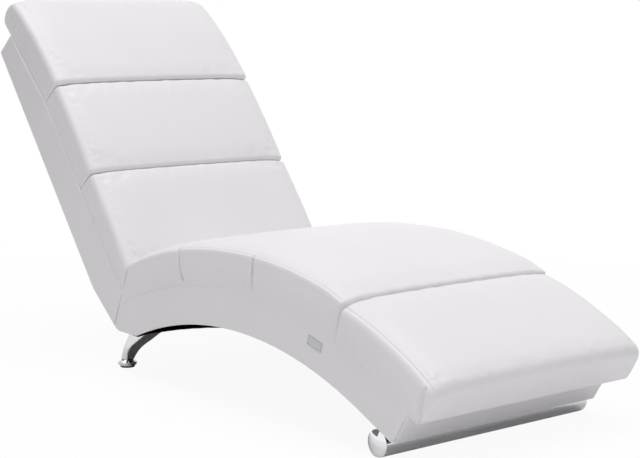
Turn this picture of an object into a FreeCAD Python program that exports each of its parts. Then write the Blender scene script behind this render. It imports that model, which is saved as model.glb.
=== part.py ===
"""Reclining lounger: a fixed chaise built from two upholstered modules.

The seat module is an arched plywood box that carries a long seat pad and a foot pad,
two chrome rear legs with levelling glides, and a chrome tube as its front foot.
The back module is a reclined plywood box with three pads. The two modules are bolted
together on a slanted parting plane. +X points to the foot end, +Z up, and the origin
is on the floor under the middle of the outline. Lengths are in millimetres.
"""
import FreeCAD, Part
import math
import os

Vec = FreeCAD.Vector

# Widths, boards and skins
base_width = 580.0
panel_thickness = 18.0
deck_thickness = 8.0
rail_thickness = 22.0
cover_thickness = 5.0
lining_thickness = 1.5

# Seat arch: heights at the crest, and the radii of the pad's top and of the underside
seat_crest_height = 351.0
seat_top_radius = 1154.0
seat_pad_thickness = 88.0
arch_crest_height = 175.0
arch_radius = 1003.0
base_clearance = 101.0
sole_slope = 25.4
foot_pad_length = 274.3
foot_overhang = 38.0
cross_rail_angle = 9.0
cross_rail_height = 58.0

# Parting plane between the modules, and the rounded corner under it
mitre_setback = 473.0
mitre_lean = 24.3
parting_gap = 1.0
rear_corner_radius = 45.0
rear_rail_depth = 45.0

# Back: the tail rises from the parting plane to the straight rear face
tail_slope = 39.0
tail_length = 120.0
recline = 38.3
back_length = 711.0
back_base_depth = 104.0
back_pad_thickness = 76.0
head_pad_thickness = 82.0
lower_seam = 220.0
head_seam = 477.0
head_tilt = 8.0
head_bend_length = 60.0
head_overhang = 52.0
back_foot_rail_depth = 30.0

# Stuffed pads: rounded edges, crown, drawn-in sides, and the channels between them
pad_clearance = 0.4
channel_width = 1.0
channel_radius = 8.0
edge_radius = 9.0
front_end_radius = 14.0
head_end_radius = 16.0
cross_crown = 8.0
length_crown = 4.0
side_draw_in = 2.5
overhang_lift = 0.7
side_bulge = 2.0
end_taper = 0.35
station_pitch = 40.0

# Rear legs: cast horns on one stud and one pin each, with a screw-in levelling glide
stud_setback = 35.0
leg_inset = 67.0
leg_corner_radius = 5.0
leg_sections = (
    # share of the leg's height, rear edge, front edge, width, outward offset
    (1.00, -27.0, 50.0, 46.0, 0.0),
    (0.87, -38.0, 26.0, 46.0, 0.0),
    (0.70, -48.0, 3.0, 45.0, 1.0),
    (0.54, -56.0, -18.0, 43.0, 3.0),
    (0.35, -64.0, -38.0, 38.0, 7.0),
    (0.15, -71.0, -48.0, 30.0, 11.0),
    (0.00, -75.0, -51.0, 24.0, 14.0),
)
stud_radius = 4.0
stud_reach_in_leg = 16.0
stud_reach_in_rail = 20.0
insert_radius = 6.0
insert_length = 24.0
pin_radius = 2.5
pin_offset = 20.0
pin_reach_in_leg = 5.0
pin_reach_in_rail = 12.0
glide_radius = 22.0
glide_height = 14.5
glide_bevel = 4.0
glide_stem_radius = 4.0
glide_travel = 8.0
glide_engagement = 8.0
glide_bore_clearance = 1.5
glide_pad_radius = 17.0
glide_pad_height = 3.0

# Front foot: a round tube on two saddles under the sloped sole
tube_radius = 27.5
tube_wall = 2.5
tube_inset = 6.0
tube_setback = 40.1
cap_dome = 7.0
cap_plug_length = 15.0
saddle_inset = 100.0
saddle_thickness = 2.0
saddle_wrap = 8.0
saddle_length = 44.0
saddle_width = 50.0
tube_rail_depth = 45.0
tube_rail_length = 70.0
nut_block_depth = 12.0
nut_block_width = 24.0

# Fasteners
bolt_radius = 4.0
bolt_flange_radius = 8.5
bolt_flange_thickness = 1.6
bolt_head_radius = 7.0
bolt_head_height = 5.3
bolt_end_reach = 4.0
mitre_bolt_share = 0.62
mitre_bolt_spreads = (50.0, 150.0)
tee_nut_radius = 5.0
tee_nut_length = 12.0
tee_nut_flange_radius = 10.0
tee_nut_flange_thickness = 1.5
screw_radius = 2.25
screw_head_radius = 4.5
screw_head_depth = 2.7
screw_length = 50.0
screw_edge = 14.0
thread_clearance = 0.05
hole_clearance = 0.3
slip_clearance = 0.1

# Blank sewn tab on the side of the seat
tab_length = 46.0
tab_height = 22.0
tab_thickness = 1.0
tab_setback = 54.0
tab_drop = 30.0
tab_corner_radius = 3.0

half_base = base_width / 2
half_frame = half_base - cover_thickness
half_inside = half_frame - panel_thickness
half_gap = parting_gap / 2
leg_spread = half_base - leg_inset
tube_half_length = half_base - tube_inset
saddle_spread = half_base - saddle_inset


def rad(angle):
    return math.radians(angle)


def add(point, direction, distance):
    return (point[0] + direction[0] * distance, point[1] + direction[1] * distance)


def dot(a, b):
    return a[0] * b[0] + a[1] * b[1]


def at(point, y=0.0):
    """A point of the side view (x, z), placed at the width y."""
    return Vec(point[0], y, point[1])


def meet(line_a, line_b):
    """Where two lines of the side view cross; a line is (point, direction)."""
    (p, d), (q, e) = line_a, line_b
    cross = d[0] * e[1] - d[1] * e[0]
    step = ((q[0] - p[0]) * e[1] - (q[1] - p[1]) * e[0]) / cross
    return add(p, d, step)


def meet_circle(line, centre, radius, side):
    """Where a line leaves (side 1) or enters (side -1) a circle of the side view."""
    point, direction = line
    to_point = (point[0] - centre[0], point[1] - centre[1])
    along = dot(to_point, direction)
    half_chord = math.sqrt(along ** 2 - dot(to_point, to_point) + radius ** 2)
    return add(point, direction, -along + side * half_chord)


def line_edge(a, b, y=0.0):
    return Part.LineSegment(at(a, y), at(b, y)).toShape()


def arc_edge(centre, radius, a, b, y=0.0):
    """The short arc of a circle from a to b."""
    middle = ((a[0] + b[0]) / 2 - centre[0], (a[1] + b[1]) / 2 - centre[1])
    reach = math.hypot(middle[0], middle[1])
    top = add(centre, (middle[0] / reach, middle[1] / reach), radius)
    return Part.Arc(at(a, y), at(top, y), at(b, y)).toShape()


def polygon(points, y=0.0):
    corners = [at(point, y) for point in points]
    return Part.makePolygon(corners + corners[:1])


def extrude(wire, y_from, y_to):
    """A flat outline of the side view, drawn at width 0, made into a board."""
    solid = Part.Face(wire).extrude(Vec(0, y_to - y_from, 0))
    solid.translate(Vec(0, y_from, 0))
    return solid


def rod(point, y, direction, radius, length):
    """A round rod that starts at a point of the side view and lies in that plane."""
    return Part.makeCylinder(radius, length, at(point, y), Vec(direction[0], 0, direction[1]))


def group(solids):
    return Part.makeCompound(solids)


# The seat's circles share a vertical through the crest, which is x = 0 until the end.
seat_centre = (0.0, seat_crest_height - seat_top_radius)
deck_radius = seat_top_radius - seat_pad_thickness
arch_centre = (0.0, arch_crest_height - arch_radius)


def polar(angle, radius):
    return add(seat_centre, (math.sin(rad(angle)), math.cos(rad(angle))), radius)


# The parting plane: its foot on the rounded corner, its direction upward, and its normal
# from the back to the seat.
mitre_up = (math.sin(rad(mitre_lean)), math.cos(rad(mitre_lean)))
mitre_normal = (mitre_up[1], -mitre_up[0])
mitre_foot = (-mitre_setback, base_clearance + rear_corner_radius * (1 - math.cos(rad(tail_slope))))
corner_centre = (
    mitre_foot[0] + rear_corner_radius * math.sin(rad(tail_slope)),
    base_clearance + rear_corner_radius,
)


def mitre_line(offset):
    return (add(mitre_foot, mitre_normal, offset), mitre_up)


# The sole is the flat front end of the underside, tangent to the arch.
sole_along = (math.cos(rad(sole_slope)), -math.sin(rad(sole_slope)))
sole_up = (math.sin(rad(sole_slope)), math.cos(rad(sole_slope)))
sole_start = add(arch_centre, sole_up, arch_radius)


def sole_point(along, height):
    return add(add(sole_start, sole_along, along), sole_up, height)


# The tube touches the floor and lies under the sole, and the box ends a setback before it.
axis_drop = saddle_thickness + tube_radius
tube_place = (sole_start[1] - tube_radius - axis_drop * sole_up[1]) / -sole_along[1]
sole_end = sole_point(tube_place + tube_setback, 0.0)
front_angle = math.degrees(math.atan2(sole_end[0] - seat_centre[0], sole_end[1] - seat_centre[1]))
foot_seam_angle = front_angle - math.degrees((foot_pad_length - foot_overhang) / deck_radius)
front_up = (math.sin(rad(front_angle)), math.cos(rad(front_angle)))
front_back = (-front_up[1], front_up[0])


def front_line(inset):
    return (add(seat_centre, front_back, inset), front_up)


def underside(inset, mitre_offset, front_inset):
    """Edges of the underside from the parting plane to the front, and their end points."""
    corner_radius = rear_corner_radius - inset
    start = meet_circle(mitre_line(mitre_offset), corner_centre, corner_radius, -1)
    flat_start = (corner_centre[0], base_clearance + inset)
    radius = arch_radius + inset
    rise = base_clearance + inset - arch_centre[1]
    flat_end = (-math.sqrt(radius ** 2 - rise ** 2), base_clearance + inset)
    tangent = sole_point(0.0, inset)
    end = meet((tangent, sole_along), front_line(front_inset))
    edges = [
        arc_edge(corner_centre, corner_radius, start, flat_start),
        line_edge(flat_start, flat_end),
        arc_edge(arch_centre, radius, flat_end, tangent),
        line_edge(tangent, end),
    ]
    return edges, start, end


def seat_outline(under_inset, mitre_offset, front_inset, top_radius):
    """The side outline of the seat box up to a circle about the seat's centre."""
    edges, start, end = underside(under_inset, mitre_offset, front_inset)
    front_top = meet_circle(front_line(front_inset), seat_centre, top_radius, 1)
    rear_top = meet_circle(mitre_line(mitre_offset), seat_centre, top_radius, 1)
    edges.append(line_edge(end, front_top))
    edges.append(arc_edge(seat_centre, top_radius, front_top, rear_top))
    edges.append(line_edge(rear_top, start))
    return Part.Wire(edges)


# The back's own directions: up along the rear face, and forward from it.
back_up = (-math.sin(rad(recline)), math.cos(rad(recline)))
back_forward = (back_up[1], -back_up[0])
tail_up = (-math.cos(rad(tail_slope)), math.sin(rad(tail_slope)))
tail_forward = (tail_up[1], -tail_up[0])
back_start = add(mitre_foot, tail_up, tail_length)


def back_point(along, depth):
    return add(add(back_start, back_up, along), back_forward, depth)


head_up = (-math.sin(rad(recline + head_tilt)), math.cos(rad(recline + head_tilt)))
head_forward = (head_up[1], -head_up[0])
head_start = back_point(head_seam, back_base_depth)


def rear_line(inset):
    return (back_point(0.0, inset), back_up)


def tail_line(inset):
    return (add(mitre_foot, tail_forward, inset), tail_up)


def top_line(inset):
    return (back_point(back_length - inset, 0.0), back_forward)


def deck_line(drop):
    return (back_point(0.0, back_base_depth - drop), back_up)


def head_line(drop):
    return (add(head_start, head_forward, -drop), head_up)


def back_outline(inset, mitre_offset, deck_drop):
    """The side outline of the back box, as corner points from the parting plane round."""
    return [
        meet(mitre_line(mitre_offset), tail_line(inset)),
        meet(tail_line(inset), rear_line(inset)),
        meet(rear_line(inset), top_line(inset)),
        meet(top_line(inset), head_line(deck_drop)),
        meet(head_line(deck_drop), deck_line(deck_drop)),
        meet(deck_line(deck_drop), mitre_line(mitre_offset)),
    ]


def slab(origin, along, across, along_from, along_to, across_from, across_to):
    """A board across the inside of a module, as a rectangle of the side view."""
    corners = [
        add(add(origin, along, along_from), across, across_from),
        add(add(origin, along, along_to), across, across_from),
        add(add(origin, along, along_to), across, across_to),
        add(add(origin, along, along_from), across, across_to),
    ]
    return extrude(polygon(corners), -half_inside, half_inside)


def flange_bolt(point, y, direction, length):
    """A bolt whose flange sits on a point and whose shank runs along a direction."""
    back = (-direction[0], -direction[1])
    shank = rod(point, y, direction, bolt_radius, length)
    flange = rod(point, y, back, bolt_flange_radius, bolt_flange_thickness)
    head_seat = add(point, back, bolt_flange_thickness)
    head = rod(head_seat, y, back, bolt_head_radius, bolt_head_height)
    return shank.fuse(flange).fuse(head).removeSplitter()


nodes = {}
sides = (("right", -1), ("left", 1))
reach = base_width + back_length

# Seat box: two arched side panels, a bent deck on top of them, and the rails between
seat_top_inside = deck_radius - deck_thickness
panel_wire = seat_outline(lining_thickness, half_gap, cover_thickness, seat_top_inside)
seat_inside = extrude(panel_wire, -half_inside, half_inside)
for side, sign in sides:
    outer, inner = sign * half_frame, sign * half_inside
    nodes["seat_side_panel_" + side] = extrude(panel_wire, min(outer, inner), max(outer, inner))

deck_front = front_line(cover_thickness)
deck_corners = [
    meet_circle(mitre_line(half_gap), seat_centre, seat_top_inside, 1),
    meet_circle(mitre_line(half_gap), seat_centre, deck_radius, 1),
    meet_circle(deck_front, seat_centre, deck_radius, 1),
    meet_circle(deck_front, seat_centre, seat_top_inside, 1),
]
deck_wire = Part.Wire([
    line_edge(deck_corners[0], deck_corners[1]),
    arc_edge(seat_centre, deck_radius, deck_corners[1], deck_corners[2]),
    line_edge(deck_corners[2], deck_corners[3]),
    arc_edge(seat_centre, seat_top_inside, deck_corners[3], deck_corners[0]),
])
nodes["seat_deck"] = extrude(deck_wire, -half_frame, half_frame)

nodes["seat_rear_rail"] = seat_inside.common(
    slab(mitre_foot, mitre_up, mitre_normal, -reach, reach, half_gap, half_gap + rear_rail_depth)
)
nodes["seat_front_rail"] = seat_inside.common(
    slab(seat_centre, front_up, front_back, 0.0, seat_top_radius,
         cover_thickness, cover_thickness + rail_thickness)
)
for name, angle in (("rear", -cross_rail_angle), ("front", cross_rail_angle)):
    radial = (math.sin(rad(angle)), math.cos(rad(angle)))
    across = (radial[1], -radial[0])
    nodes["seat_cross_rail_" + name] = seat_inside.common(
        slab(seat_centre, radial, across, seat_top_inside - cross_rail_height, seat_top_radius,
             -rail_thickness / 2, rail_thickness / 2)
    )

# Front foot: the tube hangs from its saddles under the sole
tube_axis = sole_point(tube_place, -axis_drop)
sole_down = (-sole_up[0], -sole_up[1])


def tube_rod(radius, y_from, y_to):
    return Part.makeCylinder(radius, y_to - y_from, at(tube_axis, y_from), Vec(0, 1, 0))


tube_rail = seat_inside.common(
    slab(sole_start, sole_along, sole_up,
         tube_place - tube_rail_length / 2, tube_place + tube_rail_length / 2,
         0.0, lining_thickness + tube_rail_depth)
)
nodes["front_tube_rail"] = tube_rail.cut(nodes["seat_front_rail"])

tube_bore = tube_radius - tube_wall
tube = tube_rod(tube_radius, -tube_half_length, tube_half_length)
tube = tube.cut(tube_rod(tube_bore, -tube_half_length, tube_half_length))
bolt_seat = sole_point(tube_place, lining_thickness + tube_rail_depth)
bolt_reach = lining_thickness + tube_rail_depth + saddle_thickness + tube_wall + nut_block_depth
tube_bolts, nut_blocks = [], []
for side, sign in sides:
    y = sign * saddle_spread
    tube_bolts.append(flange_bolt(bolt_seat, y, sole_down, bolt_reach))
    hole = rod(bolt_seat, y, sole_down, bolt_radius + hole_clearance, bolt_reach)
    tube = tube.cut(hole)
    nodes["front_tube_rail"] = nodes["front_tube_rail"].cut(hole)
    half_saddle = saddle_width / 2
    saddle_corners = [
        sole_point(tube_place - saddle_length / 2, 0.0),
        sole_point(tube_place + saddle_length / 2, 0.0),
        sole_point(tube_place + saddle_length / 2, -saddle_thickness - saddle_wrap),
        sole_point(tube_place - saddle_length / 2, -saddle_thickness - saddle_wrap),
    ]
    saddle = extrude(polygon(saddle_corners), y - half_saddle, y + half_saddle)
    saddle = saddle.cut(tube_rod(tube_radius + thread_clearance, y - saddle_width, y + saddle_width))
    nodes["tube_saddle_" + side] = saddle.cut(hole)
    block_top = saddle_thickness + tube_wall
    block_corners = [
        sole_point(tube_place - nut_block_width / 2, -block_top - nut_block_depth),
        sole_point(tube_place + nut_block_width / 2, -block_top - nut_block_depth),
        sole_point(tube_place + nut_block_width / 2, -saddle_thickness),
        sole_point(tube_place - nut_block_width / 2, -saddle_thickness),
    ]
    block = extrude(polygon(block_corners), y - nut_block_width / 2, y + nut_block_width / 2)
    block = block.common(tube_rod(tube_bore - thread_clearance, y - saddle_width, y + saddle_width))
    nut_blocks.append(block.cut(rod(bolt_seat, y, sole_down, bolt_radius + thread_clearance, reach)))
    dome_radius = (tube_radius ** 2 + cap_dome ** 2) / (2 * cap_dome)
    end = sign * tube_half_length
    dome_centre = at(tube_axis, end + sign * (cap_dome - dome_radius))
    cap = Part.makeSphere(dome_radius, dome_centre)
    dome_end = end + sign * tube_radius
    cap = cap.common(tube_rod(tube_radius, min(end, dome_end), max(end, dome_end)))
    plug_end = end - sign * cap_plug_length
    plug = tube_rod(tube_bore - slip_clearance, min(end, plug_end), max(end, plug_end))
    nodes["tube_cap_" + side] = cap.fuse(plug).removeSplitter()
nodes["front_tube"] = tube
nodes["tube_bolts"] = group(tube_bolts)
nodes["tube_nuts"] = group(nut_blocks)

# Rear legs: the horn hangs from the rear rail on a stud in a threaded insert, and a pin
# stops it turning. The glide's stem screws into the horn's foot.
stud_x = mitre_foot[0] + stud_setback
leg_foot = glide_pad_height + glide_height
glide_stem_length = glide_travel + glide_engagement
glide_bore_depth = glide_stem_length + glide_bore_clearance
leg_height = base_clearance - leg_foot


def leg_section(share, rear, front, width, outward, sign):
    """A rounded rectangle across the leg, at a share of its height."""
    z = leg_foot + leg_height * share
    corner = min(leg_corner_radius, (front - rear) / 3, width / 3)
    x0, x1 = stud_x + rear, stud_x + front
    middle = sign * (leg_spread + outward)
    y0, y1 = middle - width / 2, middle + width / 2
    cut = corner * (1 - math.sqrt(0.5))
    edges = []
    loop = (
        ((x0 + corner, y0), (x1 - corner, y0), (x1 - cut, y0 + cut), (x1, y0 + corner)),
        ((x1, y0 + corner), (x1, y1 - corner), (x1 - cut, y1 - cut), (x1 - corner, y1)),
        ((x1 - corner, y1), (x0 + corner, y1), (x0 + cut, y1 - cut), (x0, y1 - corner)),
        ((x0, y1 - corner), (x0, y0 + corner), (x0 + cut, y0 + cut), (x0 + corner, y0)),
    )
    for start, bend, through, stop in loop:
        edges.append(Part.LineSegment(Vec(start[0], start[1], z), Vec(bend[0], bend[1], z)).toShape())
        edges.append(Part.Arc(Vec(bend[0], bend[1], z), Vec(through[0], through[1], z),
                              Vec(stop[0], stop[1], z)).toShape())
    return Part.Wire(edges)


foot_share, foot_rear, foot_front, foot_width, foot_outward = leg_sections[-1]
glide_x = stud_x + (foot_rear + foot_front) / 2
studs, inserts, pins = [], [], []
up = (0.0, 1.0)
down = (0.0, -1.0)
leg_top = (stud_x, base_clearance)
pin_top = (stud_x + pin_offset, base_clearance)
for side, sign in sides:
    leg = Part.makeLoft([leg_section(*section, sign) for section in leg_sections], True, False)
    y = sign * leg_spread
    stud_start = add(leg_top, down, stud_reach_in_leg)
    stud_length = stud_reach_in_leg + lining_thickness + stud_reach_in_rail
    studs.append(rod(stud_start, y, up, stud_radius, stud_length))
    leg = leg.cut(rod(stud_start, y, up, stud_radius + thread_clearance, reach))
    insert_start = add(leg_top, up, lining_thickness)
    insert = rod(insert_start, y, up, insert_radius, insert_length)
    inserts.append(insert.cut(rod(insert_start, y, up, stud_radius + thread_clearance, insert_length)))
    insert_hole = rod(insert_start, y, up, insert_radius + thread_clearance, insert_length)
    pin_start = add(pin_top, down, pin_reach_in_leg)
    pin_length = pin_reach_in_leg + lining_thickness + pin_reach_in_rail
    pins.append(rod(pin_start, y, up, pin_radius, pin_length))
    pin_hole = rod(pin_start, y, up, pin_radius + thread_clearance, pin_length)
    leg = leg.cut(pin_hole)
    nodes["seat_rear_rail"] = nodes["seat_rear_rail"].cut(insert_hole).cut(pin_hole)

    glide_y = sign * (leg_spread + foot_outward)
    foot_point = (glide_x, leg_foot)
    stem_bore = rod(foot_point, glide_y, up, glide_stem_radius + thread_clearance, glide_bore_depth)
    nodes["rear_leg_" + side] = leg.cut(stem_bore)
    rim_start = glide_pad_height + glide_bevel
    rim_end = leg_foot - glide_bevel
    neck_radius = glide_radius - glide_bevel
    lower = Part.makeCone(neck_radius, glide_radius, glide_bevel, Vec(glide_x, glide_y, glide_pad_height))
    rim = Part.makeCylinder(glide_radius, rim_end - rim_start, Vec(glide_x, glide_y, rim_start))
    upper = Part.makeCone(glide_radius, neck_radius, glide_bevel, Vec(glide_x, glide_y, rim_end))
    stem = rod(foot_point, glide_y, up, glide_stem_radius, glide_stem_length)
    nodes["rear_glide_" + side] = lower.fuse(rim).fuse(upper).fuse(stem).removeSplitter()
    floor_point = Vec(glide_x, glide_y, 0.0)
    nodes["glide_pad_" + side] = Part.makeCylinder(glide_pad_radius, glide_pad_height, floor_point)
nodes["leg_studs"] = group(studs)
nodes["leg_inserts"] = group(inserts)
nodes["leg_pins"] = group(pins)

# Skins of the seat box: padded side covers, the front cover, and the black lining
for side, sign in sides:
    outer, inner = sign * half_base, sign * half_frame
    wire = seat_outline(0.0, half_gap, 0.0, deck_radius)
    nodes["seat_side_cover_" + side] = extrude(wire, min(outer, inner), max(outer, inner))

skin_top = meet_circle(front_line(0.0), seat_centre, deck_radius, 1)
skin_top_inside = meet_circle(front_line(cover_thickness), seat_centre, deck_radius, 1)
sole_line = (sole_start, sole_along)
front_wire = Part.Wire([
    line_edge(meet(sole_line, front_line(0.0)), skin_top),
    arc_edge(seat_centre, deck_radius, skin_top, skin_top_inside),
    line_edge(skin_top_inside, meet(sole_line, front_line(cover_thickness))),
    line_edge(meet(sole_line, front_line(cover_thickness)), meet(sole_line, front_line(0.0))),
])
nodes["seat_front_cover"] = extrude(front_wire, -half_frame, half_frame)

low_edges, low_start, low_end = underside(0.0, half_gap, cover_thickness)
high_edges, high_start, high_end = underside(lining_thickness, half_gap, cover_thickness)
lining_wire = Part.Wire(Part.sortEdges(
    low_edges + [line_edge(low_end, high_end)] + high_edges + [line_edge(high_start, low_start)]
)[0])
lining = extrude(lining_wire, -half_frame, half_frame)
for side, sign in sides:
    y = sign * leg_spread
    lining = lining.cut(rod(stud_start, y, up, stud_radius + hole_clearance, reach))
    lining = lining.cut(rod(pin_start, y, up, pin_radius + hole_clearance, reach))
    bolt_hole = rod(bolt_seat, sign * saddle_spread, sole_down, bolt_radius + hole_clearance, bolt_reach)
    lining = lining.cut(bolt_hole)
nodes["underside_lining"] = lining

tab_angle = foot_seam_angle - math.degrees(tab_setback / deck_radius)
tab_centre = polar(tab_angle, deck_radius - tab_drop)
tab_along = (math.cos(rad(tab_angle)), -math.sin(rad(tab_angle)))
tab_up = (math.sin(rad(tab_angle)), math.cos(rad(tab_angle)))
tab_corners = [
    add(add(tab_centre, tab_along, sx * tab_length / 2), tab_up, sz * tab_height / 2)
    for sx, sz in ((-1, -1), (1, -1), (1, 1), (-1, 1))
]
tab = extrude(polygon(tab_corners), -half_base - tab_thickness, -half_base)
tab_edges = [edge for edge in tab.Edges if edge.BoundBox.YLength > tab_thickness / 2]
nodes["side_tab"] = tab.makeFillet(tab_corner_radius, tab_edges)

# Back box: two side panels, a deck bent back behind the head, and the rails between
back_panel_wire = polygon(back_outline(cover_thickness, -half_gap, deck_thickness))
back_inside = extrude(back_panel_wire, -half_inside, half_inside)
for side, sign in sides:
    outer, inner = sign * half_frame, sign * half_inside
    nodes["back_side_panel_" + side] = extrude(back_panel_wire, min(outer, inner), max(outer, inner))

back_deck_corners = [
    meet(mitre_line(-half_gap), deck_line(deck_thickness)),
    meet(deck_line(deck_thickness), head_line(deck_thickness)),
    meet(head_line(deck_thickness), top_line(cover_thickness)),
    meet(top_line(cover_thickness), head_line(0.0)),
    head_start,
    meet(deck_line(0.0), mitre_line(-half_gap)),
]
nodes["back_deck"] = extrude(polygon(back_deck_corners), -half_frame, half_frame)

nodes["back_foot_rail"] = back_inside.common(
    slab(mitre_foot, mitre_up, mitre_normal, -reach, reach, -half_gap - back_foot_rail_depth, -half_gap)
)
top_inside = back_length - cover_thickness
for name, rail_top in (
    ("back_lower_rail", lower_seam + rail_thickness / 2),
    ("back_head_rail", head_seam + rail_thickness / 2),
    ("back_top_rail", top_inside),
):
    nodes[name] = back_inside.common(
        slab(back_start, back_up, back_forward, rail_top - rail_thickness, rail_top, 0.0, back_base_depth)
    )

# Skins of the back box: side covers, the rear cover that also wraps the tail, and the top
for side, sign in sides:
    outer, inner = sign * half_base, sign * half_frame
    wire = polygon(back_outline(0.0, -half_gap, 0.0))
    nodes["back_side_cover_" + side] = extrude(wire, min(outer, inner), max(outer, inner))

rear_skin = [
    meet(mitre_line(-half_gap), tail_line(0.0)),
    back_start,
    meet(rear_line(0.0), top_line(cover_thickness)),
    meet(rear_line(cover_thickness), top_line(cover_thickness)),
    meet(rear_line(cover_thickness), tail_line(cover_thickness)),
    meet(mitre_line(-half_gap), tail_line(cover_thickness)),
]
nodes["back_rear_cover"] = extrude(polygon(rear_skin), -half_frame, half_frame)
top_skin = [
    meet(rear_line(0.0), top_line(cover_thickness)),
    meet(rear_line(0.0), top_line(0.0)),
    meet(top_line(0.0), head_line(0.0)),
    meet(top_line(cover_thickness), head_line(0.0)),
]
nodes["back_top_cover"] = extrude(polygon(top_skin), -half_frame, half_frame)

# Bolts that pull the two modules together across the parting plane
mitre_bolts, tee_nuts = [], []
to_back = (-mitre_normal[0], -mitre_normal[1])
deck_underside = meet_circle(mitre_line(half_gap), seat_centre, seat_top_inside, 1)
rail_rise = dot((deck_underside[0] - mitre_foot[0], deck_underside[1] - mitre_foot[1]), mitre_up)
bolt_line = add(mitre_foot, mitre_up, mitre_bolt_share * rail_rise)
head_seat = add(bolt_line, mitre_normal, half_gap + rear_rail_depth)
nut_seat = add(bolt_line, mitre_normal, -half_gap - back_foot_rail_depth)
mitre_bolt_length = parting_gap + rear_rail_depth + back_foot_rail_depth + bolt_end_reach
for spread in mitre_bolt_spreads:
    for side, sign in sides:
        y = sign * spread
        mitre_bolts.append(flange_bolt(head_seat, y, to_back, mitre_bolt_length))
        hole = rod(head_seat, y, to_back, bolt_radius + hole_clearance, mitre_bolt_length)
        nodes["seat_rear_rail"] = nodes["seat_rear_rail"].cut(hole)
        nut = rod(nut_seat, y, mitre_normal, tee_nut_radius, tee_nut_length)
        nut = nut.fuse(rod(nut_seat, y, to_back, tee_nut_flange_radius, tee_nut_flange_thickness))
        nut = nut.cut(rod(head_seat, y, to_back, bolt_radius + thread_clearance, reach))
        tee_nuts.append(nut.removeSplitter())
        pocket = rod(nut_seat, y, mitre_normal, tee_nut_radius + thread_clearance, tee_nut_length)
        nodes["back_foot_rail"] = nodes["back_foot_rail"].cut(hole).cut(pocket)
nodes["module_bolts"] = group(mitre_bolts)
nodes["module_tee_nuts"] = group(tee_nuts)

# Countersunk screws through the side panels into both ends of every rail
screw_plan = (
    ("seat", (("seat_rear_rail", mitre_up), ("seat_cross_rail_rear", up), ("seat_cross_rail_front", up),
              ("front_tube_rail", sole_along), ("seat_front_rail", front_up))),
    ("back", (("back_foot_rail", mitre_up), ("back_lower_rail", back_forward),
              ("back_head_rail", back_forward), ("back_top_rail", back_forward))),
)
for module, rails in screw_plan:
    screws = []
    for rail, spread_along in rails:
        mass_centre = nodes[rail].Solids[0].CenterOfMass
        centre = (mass_centre.x, mass_centre.z)
        for step in (-screw_edge, screw_edge):
            place = add(centre, spread_along, step)
            for side, sign in sides:
                panel = module + "_side_panel_" + side
                start, inward = at(place, sign * half_frame), Vec(0, -sign, 0)
                shank = Part.makeCylinder(screw_radius, screw_length, start, inward)
                head = Part.makeCone(screw_head_radius, screw_radius, screw_head_depth, start, inward)
                screws.append(shank.fuse(head).removeSplitter())
                bore = Part.makeCylinder(screw_radius + thread_clearance, screw_length, start, inward)
                sink = Part.makeCone(screw_head_radius + thread_clearance, screw_radius + thread_clearance,
                                     screw_head_depth, start, inward)
                nodes[panel] = nodes[panel].cut(bore.fuse(sink))
                nodes[rail] = nodes[rail].cut(bore)
    nodes[module + "_frame_screws"] = group(screws)


# Stuffed pads: each is lofted through sections across its length, with rounded ends,
# a crowned top and sides that draw in between the corners.
def pad_stations(length, start_radius, end_radius):
    """Distances along a pad, each with the height that its rounded end loses there."""
    turns = [(1 - math.cos(rad(angle)), 1 - math.sin(rad(angle))) for angle in (0.0, 30.0, 60.0)]
    places = []
    if start_radius > 0.0:
        places += [(start_radius * step, start_radius * lost) for step, lost in turns]
    inner = length - start_radius - end_radius
    spans = math.ceil(inner / station_pitch)
    places += [(start_radius + inner * i / spans, 0.0) for i in range(spans + 1)]
    if end_radius > 0.0:
        places += [(length - end_radius * step, end_radius * lost) for step, lost in reversed(turns)]
    return places


def pad_section(origin, normal, low, top, half_width):
    """A closed section of a pad: flat under, bulged sides, round edges, crowned top."""
    edge = min(edge_radius, 0.45 * top)
    foot = half_width - side_bulge
    shoulder = half_width - side_bulge / 2
    side_top = top - edge
    bend = edge * math.sqrt(0.5)

    def point(y, height):
        return Vec(origin[0] + normal[0] * height, y, origin[1] + normal[1] * height)

    round_top = shoulder - edge
    round_middle = round_top + bend
    arcs = (
        ((foot, low), (half_width, (low + side_top) / 2), (shoulder, side_top)),
        ((shoulder, side_top), (round_middle, side_top + bend), (round_top, top)),
        ((round_top, top), (0.0, top + cross_crown), (-round_top, top)),
        ((-round_top, top), (-round_middle, side_top + bend), (-shoulder, side_top)),
        ((-shoulder, side_top), (-half_width, (low + side_top) / 2), (-foot, low)),
    )
    edges = [Part.LineSegment(point(-foot, low), point(foot, low)).toShape()]
    edges += [Part.Arc(point(*start), point(*through), point(*end)).toShape() for start, through, end in arcs]
    return Part.Wire(edges)


def stuffed_pad(place, length, thickness, start_radius, end_radius, end_lift=0.0):
    """A pad along a path. Where its end overhangs, the lift rounds it underneath as well."""
    sections = []
    for along, lost in pad_stations(length, start_radius, end_radius):
        bulge = 1 - (2 * along / length - 1) ** 2
        origin, normal = place(along)
        half_width = half_base - side_draw_in * bulge - end_taper * lost
        low = pad_clearance + (end_lift * lost if along > length / 2 else 0.0)
        top = thickness + length_crown * bulge - lost
        sections.append(pad_section(origin, normal, low, top, half_width))
    return Part.makeLoft(sections, True, True)


def behind_mitre(offset, direction):
    """A block that fills one side of the parting plane."""
    corner = add(mitre_foot, mitre_normal, offset)
    corners = [
        add(corner, mitre_up, -reach),
        add(corner, mitre_up, reach),
        add(add(corner, mitre_up, reach), mitre_normal, direction * reach),
        add(add(corner, mitre_up, -reach), mitre_normal, direction * reach),
    ]
    return extrude(polygon(corners), -base_width, base_width)


half_channel = channel_width / 2


def on_seat(start_angle):
    def place(along):
        angle = start_angle + math.degrees(along / deck_radius)
        return polar(angle, deck_radius), (math.sin(rad(angle)), math.cos(rad(angle)))
    return place


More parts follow.
